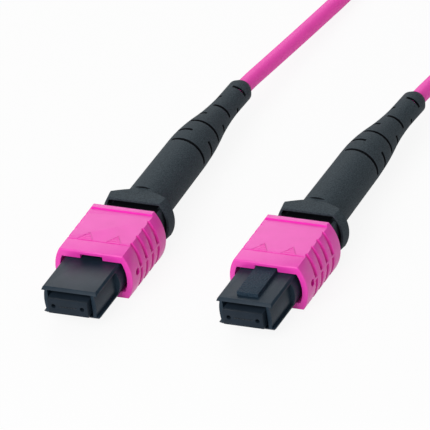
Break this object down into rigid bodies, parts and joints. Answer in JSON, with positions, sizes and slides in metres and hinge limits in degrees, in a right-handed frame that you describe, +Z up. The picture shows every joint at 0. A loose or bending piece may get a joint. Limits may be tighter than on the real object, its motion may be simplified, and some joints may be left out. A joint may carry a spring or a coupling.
{
  "type": "mpo patch cable",
  "caption": "Fibre patch cable with a push-on multi-fibre plug on each end: floating ferrule, sprung release sleeve, slotted strain boot.",
  "frame": {"origin": "on the floor, under the middle of the box round the two connectors", "axes": "+Y from the ferrule faces back along the cable, +Z up, +X to the right seen from the ferrule faces' side"},
  "size_m": [0.0453, 0.1467, 0.0079],
  "materials": {
    "coupling": "satin",
    "jacket": "satin",
    "frame": "satin",
    "ferrule": "satin",
    "boot": "matt",
    "steel": "satin",
    "housing": "satin",
    "aramid": "matt",
    "fibre": "gloss",
    "ferrule_sleeve": "matt",
    "strap": "matt"
  },
  "bodies": {
    "trunk": {"main_spring_a": "steel", "plug_frame_a": "frame", "coupling_springs_a": "steel", "rear_housing_a": "housing", "aramid_layer_a": "aramid", "crimp_sleeve_a": "steel", "cable_lead_a": "jacket", "strain_boot_a": "boot", "main_spring_b": "steel", "plug_frame_b": "frame", "coupling_springs_b": "steel", "rear_housing_b": "housing", "aramid_layer_b": "aramid", "crimp_sleeve_b": "steel", "cable_lead_b": "jacket", "strain_boot_b": "boot", "cable_run_a": "jacket", "cable_run_b": "jacket", "cable_coil": "jacket", "coil_ties": "strap"},
    "sleeve_a": {"coupling_a": "coupling"},
    "float_a": {"ferrule_a": "ferrule", "ferrule_boot_a": "ferrule_sleeve", "pin_keeper_a": "steel", "fibre_ribbon_a": "fibre"},
    "sleeve_b": {"coupling_b": "coupling"},
    "float_b": {"ferrule_b": "ferrule", "ferrule_boot_b": "ferrule_sleeve", "pin_keeper_b": "steel", "fibre_ribbon_b": "fibre"}
  },
  "joints": [
    {"name": "coupling_slide_a", "type": "slide", "parent": "trunk", "child": "sleeve_a", "axis": [0, 1, 0], "range_m": [0, 0.002], "stiffness_N_per_m": 100, "springref_m": -0.004, "deforming": ["coupling_springs_a"]},
    {"name": "ferrule_float_a", "type": "slide", "parent": "trunk", "child": "float_a", "axis": [0, 1, 0], "range_m": [0, 0.0006], "stiffness_N_per_m": 80, "springref_m": -0.004, "deforming": ["main_spring_a", "fibre_ribbon_a"]},
    {"name": "coupling_slide_b", "type": "slide", "parent": "trunk", "child": "sleeve_b", "axis": [0, 1, 0], "range_m": [0, 0.002], "stiffness_N_per_m": 100, "springref_m": -0.004, "deforming": ["coupling_springs_b"]},
    {"name": "ferrule_float_b", "type": "slide", "parent": "trunk", "child": "float_b", "axis": [0, 1, 0], "range_m": [0, 0.0006], "stiffness_N_per_m": 80, "springref_m": -0.004, "deforming": ["main_spring_b", "fibre_ribbon_b"]}
  ]
}
